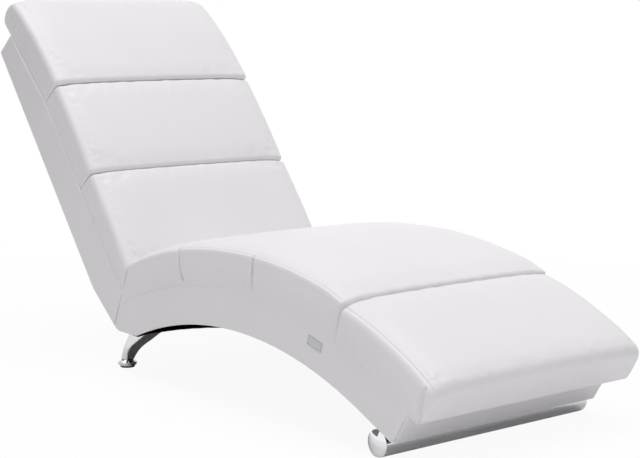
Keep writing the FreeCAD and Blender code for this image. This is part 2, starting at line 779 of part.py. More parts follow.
def on_back(start):
    def place(along):
        return back_point(start + along, back_base_depth), back_forward
    return place


def on_head(along):
    lean = rad(recline + head_tilt * min(1.0, (along + half_channel) / head_bend_length))
    return add(head_start, head_up, along + half_channel), (math.cos(lean), math.sin(lean))


channel_angle = math.degrees(half_channel / deck_radius)
mitre_deck = meet_circle(mitre_line(0.0), seat_centre, deck_radius, 1)
mitre_angle = math.degrees(math.atan2(mitre_deck[0], mitre_deck[1] - seat_centre[1]))
seat_length = rad(foot_seam_angle - channel_angle - mitre_angle) * deck_radius
seat_pad = stuffed_pad(on_seat(mitre_angle), seat_length, seat_pad_thickness, 0.0, channel_radius)
nodes["seat_pad"] = seat_pad.cut(behind_mitre(half_gap, -1))
foot_start = foot_seam_angle + channel_angle
foot_length = rad(front_angle - foot_start) * deck_radius + foot_overhang
nodes["foot_pad"] = stuffed_pad(on_seat(foot_start), foot_length, seat_pad_thickness,
                                channel_radius, front_end_radius, overhang_lift)

lower_start = dot((mitre_deck[0] - back_start[0], mitre_deck[1] - back_start[1]), back_up) - back_base_depth
lower_length = lower_seam - half_channel - lower_start
lower_pad = stuffed_pad(on_back(lower_start), lower_length, back_pad_thickness, 0.0, channel_radius)
nodes["lower_back_pad"] = lower_pad.cut(behind_mitre(-half_gap, 1))
upper_length = head_seam - lower_seam - channel_width
nodes["upper_back_pad"] = stuffed_pad(on_back(lower_seam + half_channel), upper_length, back_pad_thickness,
                                      channel_radius, channel_radius)
head_length = (back_length - head_seam) / math.cos(rad(head_tilt)) + head_overhang - half_channel
nodes["head_pad"] = stuffed_pad(on_head, head_length, head_pad_thickness, channel_radius, head_end_radius,
                                overhang_lift)

# Put the origin under the middle of the outline and write every node
boxes = [shape.optimalBoundingBox(False) for shape in nodes.values()]
middle = (min(box.XMin for box in boxes) + max(box.XMax for box in boxes)) / 2
os.makedirs("parts", exist_ok=True)
for name, shape in nodes.items():
    if len(shape.Solids) == 1:
        shape = shape.Solids[0]
    shape.translate(Vec(-middle, 0, 0))
    shape.exportStep("parts/" + name + ".step")

print("nodes", len(nodes))
print("shift", round(-middle, 3))
print("glide axis", round(glide_x - middle, 3), round(leg_spread + foot_outward, 3))
print("tube axis", round(tube_axis[0] - middle, 3), round(tube_axis[1], 3))
print("length", round(max(box.XMax for box in boxes) - min(box.XMin for box in boxes), 1))
print("width", round(max(box.YMax for box in boxes) - min(box.YMin for box in boxes), 1))
print("height", round(max(box.ZMax for box in boxes), 1), "lowest", round(min(box.ZMin for box in boxes), 3))
print("invalid", [name for name, shape in nodes.items() if not shape.isValid()])
print("solids", {name: len(shape.Solids) for name, shape in nodes.items() if len(shape.Solids) != 1})
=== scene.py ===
"""Looks of the reclining lounger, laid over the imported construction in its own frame.

The file follows the object as it is put together: frame, fasteners, lining, covers,
pads, seams, tab, legs and tube, and last the studio. Lengths are in metres.
"""

import math

import bmesh
import bpy
import numpy as np
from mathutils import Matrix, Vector
from mathutils.bvhtree import BVHTree
from mathutils.kdtree import KDTree


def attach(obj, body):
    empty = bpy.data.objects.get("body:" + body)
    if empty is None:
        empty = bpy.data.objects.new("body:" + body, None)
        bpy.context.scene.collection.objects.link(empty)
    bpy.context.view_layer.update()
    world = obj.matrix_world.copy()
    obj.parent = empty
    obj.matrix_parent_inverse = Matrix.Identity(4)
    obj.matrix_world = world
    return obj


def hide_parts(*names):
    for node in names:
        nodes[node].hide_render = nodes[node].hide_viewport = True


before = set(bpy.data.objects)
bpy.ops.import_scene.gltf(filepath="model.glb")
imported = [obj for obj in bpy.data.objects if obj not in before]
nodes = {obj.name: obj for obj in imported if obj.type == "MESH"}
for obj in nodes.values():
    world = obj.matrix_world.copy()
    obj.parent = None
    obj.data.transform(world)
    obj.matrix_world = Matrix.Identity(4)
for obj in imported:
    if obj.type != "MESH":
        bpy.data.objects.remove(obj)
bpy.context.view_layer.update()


# Wooden frame. Two boxes of birch plywood panels and bent decks, with pine rails screwed
# between them. All of it is covered, so it keeps the construction's own boards.
def new_material(name):
    """A material with only a principled shader, and the things needed to wire it."""
    material = bpy.data.materials.new(name)
    material.use_nodes = True
    tree = material.node_tree
    shader = next(node for node in tree.nodes if node.type == "BSDF_PRINCIPLED")
    return material, tree, shader


def add_node(tree, kind, **values):
    """A shader node with named properties and input defaults."""
    node = tree.nodes.new(kind)
    for key, value in values.items():
        if hasattr(node, key):
            setattr(node, key, value)
        else:
            node.inputs[key.replace("_", " ").title()].default_value = value
    return node


def place_noise(tree, stretch, scale, detail=4.0):
    """Noise in the object's own metres, stretched along its axes."""
    coordinate = add_node(tree, "ShaderNodeTexCoord")
    mapping = add_node(tree, "ShaderNodeMapping")
    mapping.inputs["Scale"].default_value = stretch
    noise = add_node(tree, "ShaderNodeTexNoise", scale=scale, detail=detail)
    tree.links.new(coordinate.outputs["Object"], mapping.inputs["Vector"])
    tree.links.new(mapping.outputs["Vector"], noise.inputs["Vector"])
    return noise


def colour_ramp(tree, factor, stops, target):
    """A ramp of (place, colour) stops, driven by a value, into a shader's socket."""
    ramp = add_node(tree, "ShaderNodeValToRGB")
    elements = ramp.color_ramp.elements
    while len(elements) < len(stops):
        elements.new(0.5)
    for element, (place, colour) in zip(elements, stops):
        element.position = place
        element.color = (*colour, 1.0)
    tree.links.new(factor, ramp.inputs["Fac"])
    tree.links.new(ramp.outputs["Color"], target)


def add_bump(tree, shader, height, strength, distance):
    """A bump of a height value on the shader's normal."""
    bump = add_node(tree, "ShaderNodeBump", strength=strength, distance=distance)
    tree.links.new(height, bump.inputs["Height"])
    tree.links.new(bump.outputs["Normal"], shader.inputs["Normal"])
    return bump


def wood(name, stretch, light, dark, roughness):
    """Sawn wood: long streaks of grain, a little rough."""
    material, tree, shader = new_material(name)
    grain = place_noise(tree, stretch, 30.0, 6.0)
    colour_ramp(tree, grain.outputs["Fac"], ((0.3, dark), (0.7, light)), shader.inputs["Base Color"])
    shader.inputs["Roughness"].default_value = roughness
    add_bump(tree, shader, grain.outputs["Fac"], 0.3, 0.0006)
    return material


def paint_nodes(slot, material):
    """Gives every construction piece of a slot its finish."""
    for node in nodes.values():
        if any(mat and mat.name.split(".")[0] == slot for mat in node.data.materials):
            for index in range(len(node.data.materials)):
                node.data.materials[index] = material


plywood = wood("birch_plywood", (0.4, 1.0, 4.0), (0.5, 0.37, 0.23), (0.36, 0.25, 0.15), 0.6)
softwood = wood("pine", (3.0, 0.25, 3.0), (0.68, 0.5, 0.3), (0.52, 0.34, 0.17), 0.65)
paint_nodes("plywood", plywood)
paint_nodes("softwood", softwood)


# Fasteners and small fittings. Zinc-plated bolts, nuts, studs and screws, and moulded
# black plastic for the saddles and the pads under the glides.
zinc, zinc_tree, zinc_shader = new_material("zinc_plate")
zinc_shader.inputs["Metallic"].default_value = 1.0
zinc_mottle = place_noise(zinc_tree, (1.0, 1.0, 1.0), 400.0)
colour_ramp(zinc_tree, zinc_mottle.outputs["Fac"],
            ((0.3, (0.5, 0.51, 0.53)), (0.7, (0.66, 0.67, 0.68))), zinc_shader.inputs["Base Color"])
zinc_shader.inputs["Roughness"].default_value = 0.35
paint_nodes("zinc_steel", zinc)

plastic, plastic_tree, plastic_shader = new_material("moulded_plastic")
plastic_shader.inputs["Base Color"].default_value = (0.018, 0.018, 0.02, 1.0)
plastic_grain = place_noise(plastic_tree, (1.0, 1.0, 1.0), 900.0)
colour_ramp(plastic_tree, plastic_grain.outputs["Fac"],
            ((0.3, (0.42, 0.42, 0.42)), (0.7, (0.6, 0.6, 0.6))), plastic_shader.inputs["Roughness"])
add_bump(plastic_tree, plastic_shader, plastic_grain.outputs["Fac"], 0.2, 0.0003)
paint_nodes("black_plastic", plastic)


# Lining. A black non-woven sheet stapled under the arch from the parting plane to the
# front, slack between the side panels, and flat where the legs and saddles clamp it.
crest_x = 0.184323
arch_crown = 0.175
arch_radius = 1.003
arch_centre = (crest_x, arch_crown - arch_radius)
base_clearance = 0.101
sole_slope = math.radians(25.4)
sole_length = 0.0925
tail_x = crest_x - 0.473
tail_radius = 0.045
tail_turn = math.radians(39.0)
tail_margin = 0.03
lining_half_width = 0.2835
lining_columns = 61
lining_thickness = 0.0008
lining_sag = 0.003
lining_slack = ((-0.18, 0.0), (-0.139, 0.007), (-0.085, 0.0105), (-0.03, 0.011), (0.02, 0.0105),
                (0.07, 0.008), (0.116, 0.004), (0.165, 0.0))
lining_hem = 0.0034
hem_start, hem_rise = 0.046, 0.03
hem_end_x, hem_fall = -0.14, 0.04
leg_clamp, leg_release = 0.126, 0.1
saddle_clamp, saddle_release = 0.1, 0.12
staple_pitch = 0.055
staple_ripple = 0.0006


def new_piece(name, vertices, faces, material, smooth=True):
    """A mesh object at the origin with one material."""
    mesh = bpy.data.meshes.new(name)
    mesh.from_pydata([tuple(vertex) for vertex in vertices], [], faces)
    mesh.materials.append(material)
    if smooth:
        mesh.shade_smooth()
    mesh.update()
    piece = bpy.data.objects.new(name, mesh)
    bpy.context.scene.collection.objects.link(piece)
    return piece


def baked(piece):
    """Applies every modifier of a piece into its mesh."""
    depsgraph = bpy.context.evaluated_depsgraph_get()
    mesh = bpy.data.meshes.new_from_object(piece.evaluated_get(depsgraph))
    piece.modifiers.clear()
    old = piece.data
    piece.data = mesh
    bpy.data.meshes.remove(old)
    return piece


def grid_faces(rows, columns):
    """Quads of a grid of vertices stored row by row."""
    faces = []
    for row in range(rows - 1):
        for column in range(columns - 1):
            first = row * columns + column
            faces.append((first, first + 1, first + columns + 1, first + columns))
    return faces


def lining_path():
    """Points of the underside, with their downward normals, from the rear to the front."""
    flat_start = tail_x + tail_radius * math.sin(tail_turn)
    rise = base_clearance - arch_centre[1]
    flat_end = arch_centre[0] - math.sqrt(arch_radius ** 2 - rise ** 2)
    points = []
    for angle in np.linspace(tail_turn - tail_margin, 0.0, 8)[:-1]:
        down = (-math.sin(angle), -math.cos(angle))
        points.append(((flat_start + tail_radius * down[0],
                        base_clearance + tail_radius * (1 + down[1])), down))
    points += [((x, base_clearance), (0.0, -1.0)) for x in np.linspace(flat_start, flat_end, 10)]
    start_angle = math.asin((flat_end - arch_centre[0]) / arch_radius)
    for angle in np.linspace(start_angle, sole_slope, 70)[1:]:
        up = (math.sin(angle), math.cos(angle))
        points.append(((arch_centre[0] + up[0] * arch_radius, arch_centre[1] + up[1] * arch_radius),
                       (-up[0], -up[1])))
    last, down = points[-1]
    for step in np.linspace(0.0, sole_length, 8)[1:]:
        points.append(((last[0] + math.cos(sole_slope) * step,
                        last[1] - math.sin(sole_slope) * step), down))
    return points


lining_vertices = []
lining_points = lining_path()
lining_first_x = lining_points[0][0][0]
lining_last_x = lining_points[-1][0][0]
for (x, z), (normal_x, normal_z) in lining_points:
    free = np.clip((x - lining_first_x - leg_clamp) / leg_release, 0.0, 1.0)
    free *= np.clip((lining_last_x - saddle_clamp - x) / saddle_release, 0.0, 1.0)
    slack = np.interp(x, [place for place, _ in lining_slack], [drop for _, drop in lining_slack])
    hem = lining_hem * np.clip((x - lining_first_x - hem_start) / hem_rise, 0.0, 1.0)
    hem *= np.clip((hem_end_x - x) / hem_fall, 0.0, 1.0)
    for y in np.linspace(-lining_half_width, lining_half_width, lining_columns):
        across = abs(y) / lining_half_width
        staple = 0.5 + 0.5 * math.cos(2 * math.pi * x / staple_pitch)
        ripple = staple_ripple * staple * across ** 6
        drop = free * (lining_sag * (1 - across ** 2) + ripple) + slack + hem * across ** 12
        drop -= lining_thickness
        lining_vertices.append((x + normal_x * drop, y, z + normal_z * drop))
felt, felt_tree, felt_shader = new_material("nonwoven_lining")
felt_fibre = place_noise(felt_tree, (1.0, 1.0, 1.0), 700.0, 6.0)
colour_ramp(felt_tree, felt_fibre.outputs["Fac"],
            ((0.35, (0.008, 0.008, 0.009)), (0.7, (0.03, 0.03, 0.032))), felt_shader.inputs["Base Color"])
felt_shader.inputs["Roughness"].default_value = 0.9
add_bump(felt_tree, felt_shader, felt_fibre.outputs["Fac"], 0.5, 0.0004)
lining = new_piece("underside_sheet", lining_vertices,
                   grid_faces(len(lining_points), lining_columns), felt)
thicken = lining.modifiers.new("thickness", "SOLIDIFY")
thicken.thickness = lining_thickness
thicken.offset = 0.0
baked(lining)
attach(lining, "lounger")
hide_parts("underside_lining")


# Covers. White polyurethane leathercloth over thin wadding, pulled round the edges of both
# boxes and stapled. The edges are soft rolls, and the two modules meet in a narrow groove.
skin_roll = 0.0022
back_roll = 0.0032
roll_segments = 4
sharp_angle = math.radians(25.0)
weld_reach = 0.00002
cut_reach = 0.00005
groove_draw = 0.0012
groove_reach = 0.0002
mitre_foot = (tail_x, 0.111029)
mitre_lean = math.radians(24.3)
half_gap = 0.0005
mitre_up = (math.sin(mitre_lean), math.cos(mitre_lean))
mitre_normal = (mitre_up[1], -mitre_up[0])
seat_crest = 0.351
seat_top_radius = 1.154
seat_centre = (crest_x, seat_crest - seat_top_radius)
deck_radius = 1.066
deck_reach = 0.0005
white_light = (0.862, 0.841, 0.863)
white_dark = (0.837, 0.816, 0.838)


def leather_group():
    """Grain and slight unevenness of leathercloth: a height, a soft height and a tone."""
    group = bpy.data.node_groups.new("leathercloth_surface", "ShaderNodeTree")
    group.interface.new_socket("Grain Size", in_out="INPUT", socket_type="NodeSocketFloat")
    for name in ("Grain", "Waves", "Tone"):
        group.interface.new_socket(name, in_out="OUTPUT", socket_type="NodeSocketFloat")
    entry = group.nodes.new("NodeGroupInput")
    leave = group.nodes.new("NodeGroupOutput")
    coordinate = add_node(group, "ShaderNodeTexCoord")
    pebble = add_node(group, "ShaderNodeTexVoronoi", feature="DISTANCE_TO_EDGE")
    fine = add_node(group, "ShaderNodeTexNoise", scale=1500.0, detail=3.0)
    waves = add_node(group, "ShaderNodeTexNoise", scale=9.0, detail=2.0)
    tone = add_node(group, "ShaderNodeTexNoise", scale=4.0, detail=3.0)
    mix = add_node(group, "ShaderNodeMath", operation="MULTIPLY_ADD")
    mix.inputs[1].default_value = 0.35
    limit = add_node(group, "ShaderNodeMath", operation="MINIMUM")
    limit.inputs[1].default_value = 0.25
    for texture in (pebble, fine, waves, tone):
        group.links.new(coordinate.outputs["Object"], texture.inputs["Vector"])
    group.links.new(entry.outputs["Grain Size"], pebble.inputs["Scale"])
    group.links.new(pebble.outputs["Distance"], limit.inputs[0])
    group.links.new(fine.outputs["Fac"], mix.inputs[0])
    group.links.new(limit.outputs[0], mix.inputs[2])
    group.links.new(mix.outputs[0], leave.inputs["Grain"])
    group.links.new(waves.outputs["Fac"], leave.inputs["Waves"])
    group.links.new(tone.outputs["Fac"], leave.inputs["Tone"])
    return group


leather_surface = leather_group()


def leathercloth(name, light, dark, waviness):
    """White leathercloth with a fine grain, a soft sheen and faint unevenness."""
    material, tree, shader = new_material(name)
    surface = add_node(tree, "ShaderNodeGroup")
    surface.node_tree = leather_surface
    surface.inputs["Grain Size"].default_value = 650.0
    colour_ramp(tree, surface.outputs["Tone"], ((0.3, dark), (0.7, light)), shader.inputs["Base Color"])
    colour_ramp(tree, surface.outputs["Grain"],
                ((0.0, (0.5, 0.5, 0.5)), (0.6, (0.4, 0.4, 0.4))), shader.inputs["Roughness"])
    shader.inputs["Specular IOR Level"].default_value = 0.35
    fine = add_bump(tree, shader, surface.outputs["Grain"], 0.35, 0.0002)
    broad = add_node(tree, "ShaderNodeBump", strength=waviness, distance=0.004)
    tree.links.new(surface.outputs["Waves"], broad.inputs["Height"])
    tree.links.new(broad.outputs["Normal"], fine.inputs["Normal"])
    return material


cover_leather = leathercloth("cover_leathercloth_white", white_light, white_dark, 0.25)


def copied_mesh(node):
    """A welded copy of a construction piece's mesh, in the row frame, as an edit mesh."""
    source = nodes[node]
    edit = bmesh.new()
    edit.from_mesh(source.data)
    edit.transform(source.matrix_world)
    bmesh.ops.remove_doubles(edit, verts=edit.verts, dist=weld_reach)
    return edit


def on_seat_deck(edge):
    """Whether an edge lies along the deck, under the pads."""
    reach = [math.hypot(vertex.co.x - seat_centre[0], vertex.co.z - seat_centre[1])
             for vertex in edge.verts]
    return min(reach) > deck_radius - deck_reach


def front_plane():
    """A point on the outer face of the front cover, and its normal."""
    node = nodes["seat_front_cover"]
    turn = node.matrix_world.to_3x3()
    faces = [face for face in node.data.polygons if (turn @ face.normal).x > 0.3]
    face = max(faces, key=lambda face: (node.matrix_world @ face.center).dot(turn @ face.normal))
    return node.matrix_world @ face.center, (turn @ face.normal).normalized()


cover_half_width = 0.290
corner_radius = 0.013
corner_slack = 0.002
corner_bands = (0.04, 0.13, 0.25, 0.4, 0.6, 0.8, 1.0)
front_point, front_normal = front_plane()


def corner_depths(point):
    """How far a point lies behind the front face and inside the side face."""
    return (front_point - point).dot(front_normal), cover_half_width - abs(point.y)


def seat_flush(edge):
    """Edges of the seat covers that stay sharp: along the deck, and at the front corners."""
    near = [max(corner_depths(vertex.co)) for vertex in edge.verts]
    return on_seat_deck(edge) or max(near) < corner_radius + corner_slack


def cut(edit, place, direction):
    """Cuts new edges into a mesh along a plane."""
    bmesh.ops.bisect_plane(edit, geom=[*edit.verts, *edit.edges, *edit.faces], plane_co=place,
                           plane_no=direction, dist=cut_reach)


def round_corner(edit):
    """Cuts bands beside the front corners and draws the cover round them."""
    for share in corner_bands:
        band = corner_radius * share
        cut(edit, front_point - front_normal * band, front_normal)
        cut(edit, Vector((0.0, cover_half_width - band, 0.0)), Vector((0.0, 1.0, 0.0)))
        cut(edit, Vector((0.0, band - cover_half_width, 0.0)), Vector((0.0, -1.0, 0.0)))
    for vertex in edit.verts:
        behind, inside = corner_depths(vertex.co)
        if max(behind, inside) >= corner_radius:
            continue
        away = math.hypot(corner_radius - behind, corner_radius - inside)
        if away > corner_radius:
            draw = 1 - corner_radius / away
            vertex.co -= front_normal * (corner_radius - behind) * draw
            vertex.co.y -= math.copysign((corner_radius - inside) * draw, vertex.co.y)


def open_groove(edit):
    """Draws a cover back from the parting plane, so that the groove is deep enough to look dark."""
    for vertex in edit.verts:
        x = vertex.co.x - mitre_foot[0]
        z = vertex.co.z - mitre_foot[1]
        away = x * mitre_normal[0] + z * mitre_normal[1]
        if abs(abs(away) - half_gap) < groove_reach:
            draw = math.copysign(groove_draw, away)
            vertex.co.x += mitre_normal[0] * draw
            vertex.co.z += mitre_normal[1] * draw


def skin(node, roll, flush=None, stuff=None):
    """A cover with its sharp edges rolled over, but for those that stay flush, and its wadding."""
    edit = copied_mesh(node)
    bmesh.ops.dissolve_limit(edit, angle_limit=math.radians(0.5), verts=edit.verts, edges=edit.edges)
    sharp = [edge for edge in edit.edges if edge.is_manifold and edge.calc_face_angle() > sharp_angle
             and not (flush and flush(edge))]
    bmesh.ops.bevel(edit, geom=sharp, offset=roll, offset_type="OFFSET", segments=roll_segments,
                    profile=0.5, affect="EDGES", clamp_overlap=True)
    open_groove(edit)
    if stuff:
        stuff(edit)
    bmesh.ops.triangulate(edit, faces=edit.faces)
    mesh = bpy.data.meshes.new(node + "_skin")
    edit.to_mesh(mesh)
    edit.free()
    mesh.materials.append(cover_leather)
    mesh.shade_smooth()
    mesh.set_sharp_from_angle(angle=math.radians(40.0))
    piece = bpy.data.objects.new(node + "_skin", mesh)
    bpy.context.scene.collection.objects.link(piece)
    weighted = piece.modifiers.new("even_normals", "WEIGHTED_NORMAL")
    weighted.mode = "FACE_AREA"
    weighted.weight = 100
    weighted.keep_sharp = True
    baked(piece)
    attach(piece, "lounger")
    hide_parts(node)
    return piece


back_start = (crest_x - 0.566258, 0.186548)
recline = math.radians(38.3)
back_depth = 0.104
back_length = 0.711
back_side_bulge = 0.0042
swell_start, swell_end = 0.15, 0.1
face_reach = 0.0012
back_up = (-math.sin(recline), math.cos(recline))
back_out = (math.cos(recline), math.sin(recline))


def stuff_back_side(edit):
    """Cuts a back side cover into bands and lets its wadding swell between its edges."""
    for share in np.linspace(0.04, 0.96, 12):
        for length, direction in ((back_depth, back_out), (back_length, back_up)):
            place = (back_start[0] + direction[0] * length * share, 0.0,
                     back_start[1] + direction[1] * length * share)
            cut(edit, place, (direction[0], 0.0, direction[1]))
    for vertex in edit.verts:
        if abs(vertex.co.y) < cover_half_width - face_reach:
            continue
        x = vertex.co.x - back_start[0]
        z = vertex.co.z - back_start[1]
        depth = np.clip((x * back_out[0] + z * back_out[1]) / back_depth, 0.0, 1.0)
        along = np.clip((x * back_up[0] + z * back_up[1]) / back_length, 0.0, 1.0)
        swell = 4 * depth * (1 - depth) * min(1.0, along / swell_start, (1 - along) / swell_end)
        vertex.co.y += math.copysign(back_side_bulge * swell, vertex.co.y)


for cover in ("seat_side_cover_right", "seat_side_cover_left", "seat_front_cover"):
    skin(cover, skin_roll, seat_flush, round_corner)
for cover in ("back_side_cover_right", "back_side_cover_left"):
    skin(cover, back_roll, None, stuff_back_side)
for cover in ("back_rear_cover", "back_top_cover"):
    skin(cover, back_roll)


# Pads. Foam sewn into white leathercloth: the long seat pad, the foot pad, and three back
# pads with deep channels between them. Each is boxed, with its edges sewn and its faces
# blown up over the foam by a cloth simulation.
seat_thickness = 0.088
front_angle = 31.6016
foot_seam_angle = 18.9008
foot_overhang = 0.038
back_thickness = 0.076
head_thickness = 0.082
lower_seam = 0.220
head_seam = 0.477
head_tilt = math.radians(8.0)
head_bend = 0.060
head_overhang = 0.052
seat_half_width = 0.2902
back_half_width = 0.2875
pad_clearance = 0.0001
plump = 0.005
cross_crown = 0.004
length_crown = 0.004
side_bulge = 0.0015
seat_lean = 0.003
foot_lean = 0.009
back_lean = 0.006
seam_radius = 0.012
soft_hold = 0.35
end_hold_share = 0.4
hold_reach = 0.012
seam_step = 0.0016
foot_step = 0.0012
dart_steps = 10
dart_room = 0.018
end_rings = 5
spine_half_width = 0.25
pucker_turns = (95.0, 141.0, 208.0)
corner_reach = 0.05
rise_reach = 0.026
pucker_height = 0.0006
pucker_reach = 0.028
pad_pitch = 0.008
pad_pressure = 4.0
pad_frames = 20
pad_reach = 0.0035
head_lean = recline + head_tilt
head_up = (-math.sin(head_lean), math.cos(head_lean))
head_start = (back_start[0] + back_up[0] * head_seam + back_out[0] * back_depth,
              back_start[1] + back_up[1] * head_seam + back_out[1] * back_depth)


def seat_path(along, height):
    """Side-view points on the seat, by arc length from the crest and height above the deck."""
    angle = along / deck_radius
    return (seat_centre[0] + np.sin(angle) * (deck_radius + height),
            seat_centre[1] + np.cos(angle) * (deck_radius + height))


def back_path(along, height):
    """Side-view points on the back, by distance from its foot and height above its deck."""
    depth = back_depth + height
    return (back_start[0] + back_up[0] * along + back_out[0] * depth,
            back_start[1] + back_up[1] * along + back_out[1] * depth)


def head_path(along, height):
    """Side-view points on the head, whose pad bends back from the line of the back."""
    lean = recline + head_tilt * np.clip(along / head_bend, 0.0, 1.0)
    return (head_start[0] + head_up[0] * along + np.cos(lean) * height,
            head_start[1] + head_up[1] * along + np.sin(lean) * height)


def seat_mitre(height):
    """Where the seat pad starts on the parting plane, at a height above the deck."""
    x = mitre_foot[0] + mitre_normal[0] * half_gap - seat_centre[0]
    z = mitre_foot[1] + mitre_normal[1] * half_gap - seat_centre[1]
    step = x * mitre_up[0] + z * mitre_up[1]
    rise = -step + np.sqrt(step ** 2 - x * x - z * z + (deck_radius + height) ** 2)
    return np.arctan2(x + mitre_up[0] * rise, z + mitre_up[1] * rise) * deck_radius


def back_mitre(height):
    """Where the lower back pad starts on the parting plane, at a height above the deck."""
    x = mitre_foot[0] - mitre_normal[0] * half_gap - back_start[0]
    z = mitre_foot[1] - mitre_normal[1] * half_gap - back_start[1]
    lift = (back_depth + height - x * back_out[0] - z * back_out[1]) / (
        mitre_up[0] * back_out[0] + mitre_up[1] * back_out[1])
    return x * back_up[0] + z * back_up[1] + lift * (mitre_up[0] * back_up[0] + mitre_up[1] * back_up[1])


def level(value):
    """A start that is the same at every height."""
    return lambda height: value + 0.0 * height


half_channel = 0.0005
dart_lines = (((0.008, -9.54), (0.068, -9.9), (0.086, -10.18)), ((0.0, 4.33), (0.07, 4.01)))
corner_line = ((0.0155, 33.33), (0.077, 32.38))
corner_angle = 32.8
seat_start = float(seat_mitre(np.array(seat_thickness / 2)))
seat_darts = [math.radians(np.mean([angle for height, angle in line])) * deck_radius - seat_start
              for line in dart_lines]
seam_along = math.radians(foot_seam_angle) * deck_radius
front_along = math.radians(front_angle) * deck_radius
head_end = (back_length - head_seam) / math.cos(head_tilt) + head_overhang
foot_darts = [math.radians(corner_angle) * deck_radius - seam_along - half_channel]
# For each pad: the rounding of its two ends, how far they draw in and how far the last one lifts;
# the roll of its edges (out, down, rise to the crown, further drop at the end corners); how far
# its sides lean out; and how much fuller it is at shares of its length.
pad_plan = (
    dict(name="seat_pad", path=seat_path, start=seat_mitre, end=seam_along - half_channel,
         thickness=seat_thickness, half_width=seat_half_width, radii=(0.010, 0.010),
         draws=(1.6, 1.6), lift=0.0, roll=(0.006, 0.014, 0.009, 0.002), lean=seat_lean,
         fuller=((0.0, -0.002), (0.5, -0.002), (0.7, 0.002), (0.93, 0.009), (1.0, 0.007)),
         darts=seat_darts),
    dict(name="foot_pad", path=seat_path, start=level(seam_along + half_channel),
         end=front_along + foot_overhang, thickness=seat_thickness, half_width=seat_half_width,
         radii=(0.010, 0.022), draws=(1.6, 0.5), lift=0.6, roll=(0.010, 0.020, 0.013, 0.004),
         lean=foot_lean, fuller=((0.0, 0.004), (0.5, 0.006), (0.9, 0.011), (1.0, 0.011)),
         darts=foot_darts),
    dict(name="lower_back_pad", path=back_path, start=back_mitre, end=lower_seam - half_channel,
         thickness=back_thickness, half_width=back_half_width, radii=(0.010, 0.010),
         draws=(1.6, 1.1), lift=0.0, roll=(0.015, 0.018, 0.006, 0.0), lean=back_lean,
         fuller=((0.0, -0.007), (0.5, -0.004), (1.0, 0.0)), darts=()),
    dict(name="upper_back_pad", path=back_path, start=level(lower_seam + half_channel),
         end=head_seam - half_channel, thickness=back_thickness, half_width=back_half_width,
         radii=(0.010, 0.010), draws=(1.1, 1.1), lift=0.0, roll=(0.015, 0.018, 0.006, 0.0),
         lean=back_lean, fuller=((0.0, 0.002), (1.0, 0.005)), darts=()),
    dict(name="head_pad", path=head_path, start=level(half_channel), end=head_end,
         thickness=head_thickness, half_width=back_half_width, radii=(0.010, 0.016),
         draws=(1.1, 0.15), lift=0.7, roll=(0.014, 0.017, 0.006, 0.009), lean=back_lean,
         fuller=((0.0, 0.005), (0.5, 0.007), (1.0, 0.004)), darts=()),
)
pad_leather = leathercloth("pad_leathercloth_white", white_light, white_dark, 0.2)


def pad_ring(low, top, half_width, lean, roll_out, roll_down, rise):
    """Points (y, height) round one section of a pad, and how firmly the seams hold them.

    The points crowd together at the foot and beside the top edges, where the seams are.
    """
    shoulder = half_width - side_bulge / 2 + lean
    foot = half_width
    seam = top - rise - cross_crown
    side_top = seam - roll_down
    flat = shoulder - roll_out
    inner = np.linspace(-foot + 0.03, foot - 0.03, 10)
    bottom = [-foot, -foot + foot_step, *inner, foot - foot_step]
    rises = [0.0, 0.016, *np.linspace(0.1, 0.96, 12)]
    turns = [math.pi / 2 * step / 8 for step in range(8)]
    near = [flat - seam_step * step for step in range(15)]
    middle = np.linspace(near[-1], -near[-1], 50)[1:-1]
    tops = [*near, *middle, *[-y for y in reversed(near[1:])]]
    right = []
    for share in rises:
        bulge = side_bulge * (1 - (2 * share - 1) ** 2)
        right.append((foot + (shoulder - foot) * share + bulge, low + (side_top - low) * share))
    right += [(flat + roll_out * math.cos(turn), side_top + roll_down * math.sin(turn)) for turn in turns]
    firm_side = [max(1.0 - share * 6, (share - 0.84) * 8, 0.0) for share in rises]
    firm_side += [1.0] * len(turns)
    ring = [(y, low) for y in bottom] + right
    for y in tops:
        crown = rise * (1 - math.exp((abs(y) - flat) / rise_reach))
        ring.append((y, seam + (crown + cross_crown * (1 - (y / flat) ** 2))))
    ring += [(-y, height) for y, height in [(flat, seam), *reversed(right)]][:-1]
    firm = [1.0] * len(bottom) + firm_side
    firm += [max(1.0 - (flat - abs(y)) / hold_reach, 0.0) for y in tops]
    firm += [1.0, *reversed(firm_side)][:-1]
    return np.array(ring), np.clip(np.array(firm), 0.0, 1.0)


def pad_stations(length, start_radius, end_radius, darts):
    """Distances along a pad, the height lost to its rounded ends, and how firmly they are held."""
    turns = [(1 - math.cos(math.pi / 2 * i / 6), 1 - math.sin(math.pi / 2 * i / 6)) for i in range(6)]
    inner = length - start_radius - end_radius
    spans = math.ceil(inner / pad_pitch)
    even = [start_radius + inner * i / spans for i in range(spans + 1)]
    crowd = [dart + seam_step * step for dart in darts for step in range(-dart_steps, dart_steps + 1)]
    crowd = [place for place in crowd if start_radius < place < length - end_radius - 0.001]
    spaced = [place for place in even if all(abs(place - dart) > dart_room for dart in darts)]
    spaced += [place for place in (even[0], even[-1]) if place not in spaced]
    start_hold = 1.0 if start_radius < seam_radius else soft_hold
    end_hold = 1.0 if end_radius < seam_radius else soft_hold
    places = [(start_radius * step, start_radius * lost, start_hold) for step, lost in turns]
    for place in sorted(spaced + crowd):
        from_start = start_hold * (1.0 - (place - start_radius) / hold_reach)
        from_end = end_hold * (1.0 - (length - end_radius - place) / hold_reach)
        places.append((place, 0.0, max(0.0, from_start, from_end)))
    places += [(length - end_radius * step, end_radius * lost, end_hold) for step, lost in reversed(turns)]
    return places


